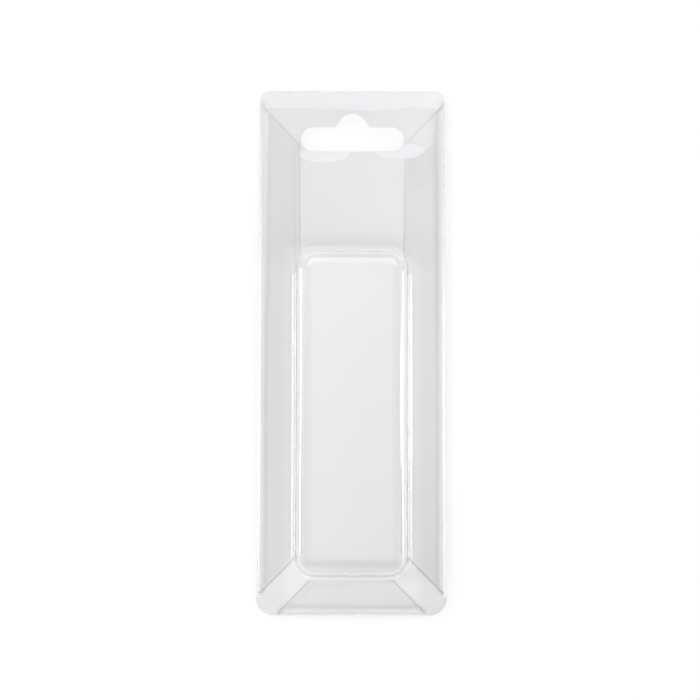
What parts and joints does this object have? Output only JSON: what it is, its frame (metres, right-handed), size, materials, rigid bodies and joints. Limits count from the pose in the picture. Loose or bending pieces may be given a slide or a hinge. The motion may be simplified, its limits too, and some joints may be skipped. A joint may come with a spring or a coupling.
{
  "type": "blister tray",
  "caption": "Clear thermoformed slide-card blister tray with a hang-slot header, a raised pocket for goods, and side and foot flanges folded back to hold a backing card.",
  "frame": {"origin": "under the middle of the outline, on the plane that the backs of the folded flanges rest on", "axes": "+Y along the tray towards the hang slot, +Z out of the pocket's face, +X across the tray"},
  "size_m": [0.0586, 0.163, 0.0169],
  "materials": {
    "clear_film": "clear, glossy thermoformed film, see-through"
  },
  "bodies": {
    "root": {"blister_tray": "clear_film"}
  },
  "joints": []
}
